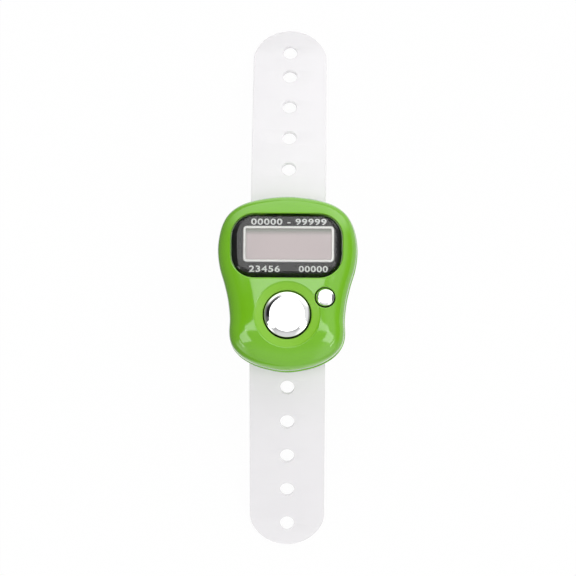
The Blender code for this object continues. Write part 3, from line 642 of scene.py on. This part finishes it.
def front_shell(finish):
    """The domed front cover with its thumb dish, its window and its two button holes, hollow below."""
    def window_way(offset):
        return rounded_rectangle(
            LENS_SIZE.x + LENS_GAP + 2 * offset, LENS_SIZE.y + LENS_GAP + 2 * offset,
            LENS_CORNER + LENS_GAP / 2 + offset, LENS_CENTRE)

    side_z = FOOT_Z + FRONT_SIDE_HEIGHT
    inset = SET_BACK + FOOT_INSET
    rings = [case_ring(inset + FOOT_CHAMFER, FOOT_Z), case_ring(inset, FOOT_Z + FOOT_CHAMFER)] + domed(side_z, 64)
    shell = raised("front_shell", [[point + SET_ASIDE for point in ring] for ring in rings])
    combine(shell, dish_cutter(shell), "DIFFERENCE")
    tools = [
        lipped_cutter("window_way", shell, window_way, mask_low.z - 0.1 * MM, WINDOW_LIP),
        lipped_cutter(
            "count_way", shell, lambda offset: circle(COUNT_HOLE + offset, COUNT_CENTRE), count_low.z - PAST,
            COUNT_LIP),
        lipped_cutter(
            "reset_way", shell, lambda offset: circle(RESET_HOLE + offset, RESET_CENTRE, 64), count_low.z - PAST,
            RESET_LIP),
    ]
    hollow = raised(
        "front_hollow",
        [case_ring(WALL, FOOT_Z - PAST)]
        + shoulder(WALL, SHOULDER_REACH - WALL / 2, side_z, TOP_Z - CROWN - WALL, 10))
    combine(shell, hollow, "DIFFERENCE")
    for tool in tools:
        combine(shell, tool, "DIFFERENCE")
    smooth(shell, 35.0)
    return finished(shell, finish, "case", "green_shell", "front_cover")


def rear_shell(finish):
    """The rear cover: a tray with a rounded back edge, a locating lip, two strap loops and sunk screw seats."""
    edge = [
        case_ring(REAR_EDGE * (1 - math.sin(turn)), REAR_BACK_Z + REAR_EDGE * (1 - math.cos(turn)))
        for turn in quarter_turns(10)
    ]
    slope_in, slope_down = RIM_SLOPE
    shell = raised("rear_shell", edge + [case_ring(0.0, RIM_Z - slope_down), case_ring(slope_in, RIM_Z)])
    hollow = raised("rear_hollow", [
        case_ring(WALL + REAR_EDGE / 2, REAR_BACK_Z + REAR_FLOOR), case_ring(WALL, REAR_BACK_Z + REAR_EDGE),
        case_ring(WALL, RIM_Z + PAST)])
    combine(shell, hollow, "DIFFERENCE")
    combine(shell, locating_lip(), "UNION")
    for y in LOOP_PLACES:
        combine(shell, strap_loop(y), "UNION")
    for i in range(CASE_SCREWS):
        combine(shell, screw_seat(f"case_screw_{i + 1}"), "DIFFERENCE")
    smooth(shell, 35.0)
    return finished(shell, finish, "case", "green_shell", "rear_cover")


def locating_lip():
    """A low wall along the inside of the rear cover's rim, which the front cover fits over."""
    gap, thickness, rise = 0.15 * MM, 0.6 * MM, 0.9 * MM
    outer = WALL + gap
    inner = outer + thickness
    buried = WALL - thickness
    lip = raised("lip", [
        case_ring(buried, RIM_Z - rise), case_ring(buried, RIM_Z - gap),
        case_ring(outer, RIM_Z - gap), case_ring(outer, RIM_Z + rise)])
    bore = raised("bore", [case_ring(inner, RIM_Z - 2 * PAST), case_ring(inner, RIM_Z + 2 * PAST)])
    combine(lip, bore, "DIFFERENCE")
    return lip


def strap_loop(y):
    """Two posts and a bar below them, with a slot for the strap."""
    half = STRAP_WIDTH / 2 + STRAP_PLAY
    bar_z = strap_low.z - STRAP_PLAY
    post, bar, buried = 1.3 * MM, 1.2 * MM, 0.8 * MM
    outer_edge, slot_edge = 0.4 * MM, 0.1 * MM
    outer = block("loop", (-half - post, y - bar, bar_z - bar), (half + post, y + bar, REAR_BACK_Z + buried))
    rounded(outer, outer_edge, 4)
    slot = block("slot", (-half, y - 3 * PAST, bar_z), (half, y + 3 * PAST, REAR_BACK_Z + 2 * PAST))
    combine(outer, slot, "DIFFERENCE")
    rounded(outer, slot_edge, 2, 40.0)
    return outer


def screw_seat(node):
    """A cutter for a screw's way through the rear cover, with a sunk seat for its head and an eased mouth."""
    low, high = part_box(node)
    shank, head, mouth = 0.8 * MM, 1.45 * MM, 1.6 * MM
    seat_z = low.z + 0.7 * MM
    return spun("head_sink", [
        (0.0, high.z + PAST), (shank, high.z + PAST), (shank, seat_z), (head, seat_z),
        (head, REAR_BACK_Z + 0.15 * MM), (mouth, REAR_BACK_Z), (mouth, REAR_BACK_Z - PAST),
        (0.0, REAR_BACK_Z - PAST)], (low + high) / 2, 48)


# Window and display

def window_lens(finish):
    """Clear plate with a broad soft bevel round its face, narrower at the back."""
    def outline(inset):
        return rounded_rectangle(
            LENS_SIZE.x - 2 * inset, LENS_SIZE.y - 1.4 * inset, LENS_CORNER - inset,
            (LENS_CENTRE.x, LENS_CENTRE.y + 0.3 * inset))

    rings = [
        at_height(outline(LENS_BACK_EDGE), lens_low.z), at_height(outline(0.0), lens_low.z + LENS_BACK_EDGE)]
    for inset, drop in ((0.0, 0.64), (0.04, 0.60), (0.98, 0.03), (1.04, 0.01), (1.12, 0.0), (1.30, 0.0)):
        rings.append(at_height(outline(inset * MM), lens_high.z - drop * MM))
    lens = raised("clear_window", rings)
    smooth(lens, 40.0)
    return finished(lens, finish, "case", "clear_lens", "window_lens")


def bezel_frame(finish):
    """The silver line round the display, as a frame with a sloped inside."""
    def outline(inset):
        return rounded_rectangle(
            DISPLAY_SIZE.x - 2 * inset, DISPLAY_SIZE.y - 2 * inset, max(0.75 * MM - inset, 0.12 * MM),
            DISPLAY_CENTRE, 6)

    edge = 0.06 * MM
    solid = raised("silver_frame", [
        at_height(outline(0.0), bezel_low.z), at_height(outline(0.0), bezel_high.z - edge),
        at_height(outline(edge), bezel_high.z)])
    way = raised("way", [
        at_height(outline(inset * MM), z) for inset, z in (
            (0.55, bezel_low.z - PAST), (0.52, bezel_high.z - 0.1 * MM), (0.44, bezel_high.z),
            (0.44, bezel_high.z + PAST))])
    combine(solid, way, "DIFFERENCE")
    smooth(solid, 30.0)
    return finished(solid, finish, "case", "silver_line", "display_bezel")


def figures(name, words, centre, height, width, finish):
    """Plain white figures, printed on the dark plate under the window."""
    bpy.ops.object.text_add()
    piece = bpy.context.active_object
    piece.name = name
    piece.data.body = words
    piece.data.align_x = "CENTER"
    piece.data.align_y = "CENTER"
    piece.data.size = height / FIGURE_SHARE
    piece.data.extrude = FIGURE_THICKNESS
    piece.data.space_character = FIGURE_SPACING
    activate(piece)
    bpy.ops.object.convert(target="MESH")
    piece = bpy.context.active_object
    bpy.ops.object.mode_set(mode="EDIT")
    bpy.ops.mesh.select_all(action="SELECT")
    bpy.ops.mesh.remove_doubles(threshold=MERGE)
    bpy.ops.transform.shrink_fatten(value=FIGURE_BOLDNESS)
    bpy.ops.object.mode_set(mode="OBJECT")
    across = max(v.co.x for v in piece.data.vertices) - min(v.co.x for v in piece.data.vertices)
    piece.scale.x = width / across
    piece.location = (centre[0], centre[1], mask_high.z + FIGURE_LIFT)
    settle(piece)
    return finished(piece, finish, "case", "silver_line")


# Buttons

def cap(name, node, body, radius, flat, slopes, finish):
    """A plated cap: a nearly flat face, a shoulder that steepens over three slopes in degrees, and a flange."""
    low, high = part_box(node)
    fall = 0.02 * MM
    edge = 0.08 * MM
    face_z = high.z - fall
    profile = [
        (0.0, high.z), (flat * 0.5, high.z - fall / 4), (flat - 0.08 * MM, face_z), (flat - 0.02 * MM, face_z)]
    steps = 16
    run = (radius - edge - flat) / steps
    inner, middle, outer = slopes
    foot = face_z
    for i in range(steps + 1):
        profile.append((flat + run * i, foot))
        share = (i + 0.5) / (steps / 2)
        slope = inner + (middle - inner) * share if share < 1 else middle + (outer - middle) * (share - 1)
        foot -= run * math.tan(math.radians(slope))
    foot = profile[-1][1]
    flange = radius + 0.85 * MM
    profile += [
        (radius - 0.025 * MM, foot - 0.6 * edge), (radius, foot - 1.6 * edge), (radius, low.z + 0.6 * MM),
        (flange, low.z + 0.55 * MM), (flange, low.z), (0.0, low.z)]
    piece = spun(name, profile, (low + high) / 2 + CAP_PLAY, 128)
    smooth(piece, 35.0)
    return finished(piece, finish, body, "chrome_cap", node)


# The strap

class TailPath:
    """The middle line of a strap tail: a bend down, a straight fall and a bend out to a flat foot."""

    slot_bend = 14.0 * MM
    foot_bend = 8.0 * MM
    foot = 2.5 * MM

    def __init__(self, hinge_y, tip_y, height):
        self.hinge_y = hinge_y
        self.height = height
        bends = self.slot_bend + self.foot_bend
        along = abs(tip_y - hinge_y) - self.foot
        down = height - STRAP_THICKNESS / 2 - bends
        self.fall = math.sqrt(along ** 2 + down ** 2 - bends ** 2)
        self.slope = math.atan2(down, along) + math.atan2(bends, self.fall)
        self.length = bends * self.slope + self.fall + self.foot
        self.way = 1.0 if tip_y > hinge_y else -1.0

    def at(self, distance, lift):
        """The (y, z) of a point at a distance from the hinge and a lift off the middle line."""
        first = self.slot_bend * self.slope
        turn = min(max(distance, 0.0), first) / self.slot_bend
        y = min(distance, 0.0) + self.slot_bend * math.sin(turn)
        z = self.height - self.slot_bend * (1 - math.cos(turn))
        if distance > first:
            fall = min(distance - first, self.fall)
            y += fall * math.cos(self.slope)
            z -= fall * math.sin(self.slope)
            rest = distance - first - fall
            back = min(rest / self.foot_bend, self.slope)
            turn = self.slope - back
            y += self.foot_bend * (math.sin(self.slope) - math.sin(turn))
            z -= self.foot_bend * (math.cos(turn) - math.cos(self.slope))
            y += rest - self.foot_bend * back
        return self.hinge_y + self.way * (y + lift * math.sin(turn)), z + lift * math.cos(turn)


def strap_band(name, path, start, tip_margin, tip_pitch, finish):
    """A flat blank with a rounded tip and punched holes, cut across so that it bends, and laid along its path."""
    half = STRAP_WIDTH / 2
    tip_round = half * 0.86
    tip_steps = 48
    outline = [Vector((-half, start)), Vector((half, start))]
    for i in range(tip_steps + 1):
        turn = math.pi * i / tip_steps
        outline.append(Vector((half * math.cos(turn), path.length - tip_round + tip_round * math.sin(turn))))
    band = raised(name, [at_height(outline, -STRAP_THICKNESS / 2), at_height(outline, STRAP_THICKNESS / 2)])
    places = [path.length - tip_margin, path.length - tip_margin - tip_pitch]
    while len(places) < STRAP_HOLES:
        places.append(places[-1] - STRAP_HOLE_PITCH)
    for place in places:
        hole = circle(STRAP_HOLE, (0.0, place), 48)
        combine(band, raised("punch", [at_height(hole, -PAST), at_height(hole, PAST)]), "DIFFERENCE")
    rounded(band, STRAP_EDGE, 4)
    activate(band)
    bpy.ops.object.mode_set(mode="EDIT")
    steps = int((path.length - start) / STRAP_CUT_PITCH)
    for i in range(1, steps):
        cut = start + (path.length - start) * i / steps
        bpy.ops.mesh.select_all(action="SELECT")
        bpy.ops.mesh.bisect(plane_co=(0.0, cut, 0.0), plane_no=(0.0, 1.0, 0.0), threshold=1e-7)
    bpy.ops.object.mode_set(mode="OBJECT")
    for vertex in band.data.vertices:
        x, along, lift = vertex.co
        vertex.co = (x, *path.at(along, lift))
    activate(band)
    bpy.ops.object.mode_set(mode="EDIT")
    bpy.ops.mesh.select_all(action="SELECT")
    bpy.ops.mesh.normals_make_consistent(inside=False)
    bpy.ops.object.mode_set(mode="OBJECT")
    smooth(band, 40.0)
    coated(band, finish)
    return band


def straps(finish):
    """Two bands that meet over the lower loop. Each is laid along its tail's path, which bends down from the line
    where its tail turns.
    """
    hinge_z = (strap_low.z + strap_high.z) / 2
    upper_y = joint("upper_tail_bend")["pos_m"][1]
    lower_y = joint("lower_tail_bend")["pos_m"][1]
    upper = TailPath(upper_y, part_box("strap_upper_tail")[1].y, hinge_z)
    lower = TailPath(lower_y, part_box("strap_lower_tail")[0].y, hinge_z)
    seam = LOOP_PLACES[1]
    long_band = strap_band("strap_long_end", upper, seam + SEAM_GAP - upper_y, 4.9 * MM, 5.8 * MM, finish)
    short_band = strap_band("strap_short_end", lower, lower_y - seam + SEAM_GAP, 4.5 * MM, 7.4 * MM, finish)
    upper_y + BEND_LENGTH
    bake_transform(long_band)
    lower_y - BEND_LENGTH
    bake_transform(short_band)
    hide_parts("strap_centre", "strap_upper_tail")
    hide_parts("strap_lower_tail")


# Fasteners and inner pieces

def screw_heads(finish):
    """The case screws, heads down, with threads and cross recesses: one is modelled, and the rest are its copies."""
    shank, core, pitch = 0.68 * MM, 0.55 * MM, 0.5 * MM
    arm, groove, recess = 0.75 * MM, 0.14 * MM, 0.38 * MM
    low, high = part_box("case_screw_1")
    centre = (low + high) / 2
    head_top = low.z + 0.6 * MM
    thread_top = high.z - 0.7 * MM
    profile = [(0.0, high.z), (0.3 * MM, high.z), (shank, thread_top)]
    for turn in range(int((thread_top - head_top) / pitch)):
        z = thread_top - pitch * turn
        profile += [(shank, z), (core, z - 0.12 * MM), (core, z - 0.3 * MM)]
    profile += [(0.6 * MM, head_top), (1.2 * MM, head_top), (1.25 * MM, head_top - 0.08 * MM),
                (1.22 * MM, low.z + 0.2 * MM), (1.0 * MM, low.z + 0.05 * MM), (0.5 * MM, low.z), (0.0, low.z)]
    screw = spun("cross_screw_1", profile, centre, 40)
    for long, short in ((arm, groove), (groove, arm)):
        combine(screw, block(
            "recess", (centre.x - long, centre.y - short, low.z - PAST),
            (centre.x + long, centre.y + short, low.z + recess)), "DIFFERENCE")
    smooth(screw, 30.0)
    screws = [screw]
    for i in range(1, CASE_SCREWS):
        screws.append(copied(screw, f"cross_screw_{i + 1}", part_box(f"case_screw_{i + 1}")[0] - low))
    for i, screw in enumerate(screws):
        finished(screw, finish, "case", "screw_steel", f"case_screw_{i + 1}")


def rubber_dome(name, node, press, finish):
    """A soft dome on the board, open below, with a contact pill in it."""
    low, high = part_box(node)
    centre = (low + high) / 2
    radius = (high.x - low.x) / 2
    wall = 0.4 * MM
    edge = 0.06 * MM
    flange_z = low.z + wall
    crest = radius * 0.53
    crest_edge = 0.2 * MM
    ceiling_z = high.z - wall
    pill = crest - wall - 0.1 * MM
    pill_height = 0.15 * MM
    profile = [
        (0.0, high.z), (crest - crest_edge, high.z), (crest - edge, high.z - edge), (crest, high.z - crest_edge),
        (radius - wall - 0.1 * MM, flange_z + 0.12 * MM), (radius - wall, flange_z), (radius - edge, flange_z),
        (radius, flange_z - edge), (radius, low.z), (radius - 2 * wall, low.z), (crest - wall, ceiling_z),
        (pill, ceiling_z), (pill, ceiling_z - pill_height), (0.0, ceiling_z - pill_height)]
    piece = spun(name, profile, centre, 48)
    smooth(piece, 35.0)
    finished(piece, finish, "case", "dome_rubber", node)
    travel = joint(press)["range_m"][1]
    1 - travel / (high.z - low.z)
    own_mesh(piece)


def dress(node, finish):
    """Gives a CAD node that stays as it is its material."""
    piece = frame["nodes"][node]
    if piece.material_slots:
        for held in piece.material_slots:
            held.material = finish.material
    else:
        piece.data.materials.append(finish.material)


def inner_pieces():
    """The two soft domes, and the materials of the CAD nodes that stay."""
    steel = plain_finish("cell_steel", (0.55, 0.55, 0.54), (0.66, 0.66, 0.65), 0.32, 1.0)
    brass = plain_finish("contact_brass", (0.62, 0.45, 0.20), (0.74, 0.56, 0.28), 0.35, 1.0)
    board = plain_finish("board_mask", (0.02, 0.13, 0.05), (0.03, 0.18, 0.07), 0.4)
    rubber = plain_finish("dome_rubber", (0.42, 0.42, 0.40), (0.52, 0.52, 0.50), 0.7)
    resin = plain_finish("black_resin", (0.010, 0.010, 0.010), (0.020, 0.020, 0.020), 0.3)
    ceramic = plain_finish("capacitor_ceramic", (0.30, 0.20, 0.12), (0.40, 0.28, 0.18), 0.5)
    red_rubber = plain_finish("contact_rubber", (0.20, 0.04, 0.06), (0.30, 0.07, 0.10), 0.6)
    glass = plain_finish("display_glass", (0.5, 0.52, 0.5), (0.6, 0.6, 0.6), 0.2)
    film = plain_finish("reflector_film", (0.5, 0.48, 0.5), (0.6, 0.58, 0.6), 0.4)
    for finish, *nodes in (
        (steel, "button_cell", "board_screw_1", "board_screw_2"),
        (brass, "positive_contact", "negative_contact"),
        (board, "circuit_board"),
        (resin, "chip_blob"),
        (ceramic, "supply_capacitor"),
        (red_rubber, "zebra_strip"),
        (mask_finish(), "mask_plate"),
        (display_finish(), "lcd_polariser"),
        (glass, "lcd_front_glass", "lcd_rear_glass"),
        (film, "lcd_reflector"),
    ):
        for node in nodes:
            dress(node, finish)
    rubber_dome("soft_count_dome", "count_dome", "count_press", rubber)
    rubber_dome("soft_reset_dome", "reset_dome", "reset_press", rubber)


# Studio

def soft_box(name, turn, lean, distance, size, brightness):
    """A soft panel that faces the case, leaning from straight above it and turned from the back to the left."""
    turn, lean = math.radians(turn), math.radians(lean)
    aim = Vector((0.0, CASE_Y, TOP_Z))
    place = aim + distance * Vector((
        -math.sin(turn) * math.sin(lean), math.cos(turn) * math.sin(lean), math.cos(lean)))
    data = bpy.data.lights.new(name, "AREA")
    data.shape = "RECTANGLE"
    data.size, data.size_y = size
    data.energy = brightness * math.pi * size[0] * size[1]
    lamp = bpy.data.objects.new(name, data)
    bpy.context.scene.collection.objects.link(lamp)
    lamp.location = place
    lamp.rotation_mode = "QUATERNION"
    lamp.rotation_quaternion = (aim - place).to_track_quat("-Z", "Y")


def surroundings():
    """A room without edges: bright behind the counter, middling at its right and front, dark at its left."""
    world = bpy.data.worlds.new("studio")
    bpy.context.scene.world = world
    world.use_nodes = True
    room = Nodes(world.node_tree)
    way = room.node("ShaderNodeTexCoord", output="Generated")
    across, along, up = room.node("ShaderNodeSeparateXYZ", inputs={"Vector": way}, output=("X", "Y", "Z"))
    leftward, forward = across * -1, along * -1
    behind = along.between(0.28, 0.62)
    front = forward.between(0.22, 0.60)
    right = across.between(0.25, 0.50) * (1 - across.between(0.70, 0.92))
    far_right = across.between(0.75, 0.95)
    left = leftward.between(0.30, 0.70)
    far_left = leftward.between(0.55, 0.90)
    low_left = leftward.between(0.70, 0.85)
    near_left = leftward.between(0.45, 0.70) * forward.between(0.35, 0.60)
    # A dark patch high at the back left
    screened = leftward.between(0.08, 0.30) * up.between(0.62, 0.76) * (along + 1).between(0.95, 1.05)
    level = (behind * 1.2 * (1 - far_left * 0.75) + right * 0.48 + front * 0.36 + 0.40
             - left * 0.30 + low_left * 0.12 + near_left * 0.9 - far_right * 0.25) * (1 - screened * 0.9)
    background = world.node_tree.nodes["Background"]
    background.inputs["Color"].default_value = (1.0, 1.0, 1.0, 1.0)
    world.node_tree.links.new(level.clamped_above().socket, background.inputs["Strength"])


def studio():
    """A floor that looks white to the camera and darkens to both sides for all other light, and soft panels."""
    bpy.ops.mesh.primitive_plane_add(size=4.0, location=(0.0, 0.0, -0.05 * MM))
    floor = bpy.context.active_object
    floor.name = "floor"
    made = Finish("pale_floor", roughness=0.9)
    camera_ray, glossy_ray, through_ray = made.node(
        "ShaderNodeLightPath", output=("Is Camera Ray", "Is Glossy Ray", "Is Transmission Ray"))
    glow = made.node("ShaderNodeEmission", inputs={"Strength": 1.0})
    across, = made.axes("X")
    left = (across * -1).between(12 * MM, 30 * MM)
    right = across.between(12 * MM, 30 * MM)
    shaded = (left + right * 0.4) * (1 - camera_ray)
    made.set("Base Color", made.mix(shaded, (0.92, 0.92, 0.92), (0.12, 0.12, 0.12)))
    seen = camera_ray + glossy_ray * (1 - left * 0.9 - right * 0.9) + through_ray
    made.mix_surface(seen.clamped() * 0.965, made.principled(), glow)
    coated(floor, made)

    surroundings()
    soft_box("overhead", 0.0, 5.3, 0.60, (0.32, 0.099), 2.4)
    for side in (1.0, -1.0):
        soft_box("upper_strip", side * 101.0, 21.0, 0.50, (0.06, 0.155), 2.6)
        soft_box("lower_strip", side * 117.0, 39.5, 0.50, (0.13, 0.22), 2.6)
        soft_box("glint", side * 124.0, 60.0, 0.50, (0.12, 0.02), 6.0)


def camera():
    """Looks down on the counter, a little from its lower end and its right side."""
    pixels_per_metre = 4.998 / MM
    photo_width = 576
    distance = 0.45
    lean_y, lean_x, roll = math.radians(5.54), math.radians(0.72), math.radians(0.415)
    data = bpy.data.cameras.new("camera")
    data.sensor_width = 36.0
    data.lens = pixels_per_metre * distance / photo_width * data.sensor_width
    data.clip_start = 0.01
    data.clip_end = 10.0
    cam = bpy.data.objects.new("camera", data)
    bpy.context.scene.collection.objects.link(cam)
    back = Vector((math.sin(lean_x), -math.sin(lean_y), 0.0))
    back.z = math.sqrt(1 - back.length_squared)
    right = Vector((0.0, 1.0, 0.0)).cross(back).normalized()
    up = back.cross(right)
    turned = Matrix((right, up, back)).transposed() @ Matrix.Rotation(roll, 3, "Z")
    target = Vector((0.11 * MM, CASE_Y - 0.79 * MM, 20.0 * MM))
    cam.matrix_world = Matrix.Translation(target + back * distance) @ turned.to_4x4()
    bpy.context.scene.camera = cam


def build():
    green = green_finish()
    chrome = chrome_finish()
    front_shell(green)
    rear_shell(green)
    window_lens(lens_finish())
    bezel_frame(plain_finish("silver_foil", (0.96, 0.95, 0.93), (1.0, 0.99, 0.97), 0.35, 0.4))
    ink = plain_finish("white_ink", (0.95, 0.95, 0.95), (1.0, 1.0, 1.0), 0.6)
    for name, words, x, y, height, width in (
        ("range_figures", "00000 - 99999", 0.23, 12.13, 1.2, 15.05),
        ("count_figures", "23456", -4.58, 2.68, 1.25, 6.2),
        ("reset_figures", "00000", 5.15, 2.68, 1.2, 5.8),
    ):
        figures(name, words, (x * MM, CASE_Y + y * MM), height * MM, width * MM, ink)
    cap("count_cap", "count_button", "count_key", 4.60 * MM, 3.46 * MM, (12.0, 20.0, 34.0), chrome)
    cap("reset_cap", "reset_button", "reset_key", 1.84 * MM, 1.25 * MM, (20.0, 32.0, 44.0), chrome)
    screw_heads(plain_finish("screw_steel", (0.50, 0.50, 0.49), (0.62, 0.62, 0.60), 0.35, 1.0))
    straps(strap_finish())
    inner_pieces()


bpy.context.scene.view_settings.view_transform = "Standard"
camera()
studio()
build()
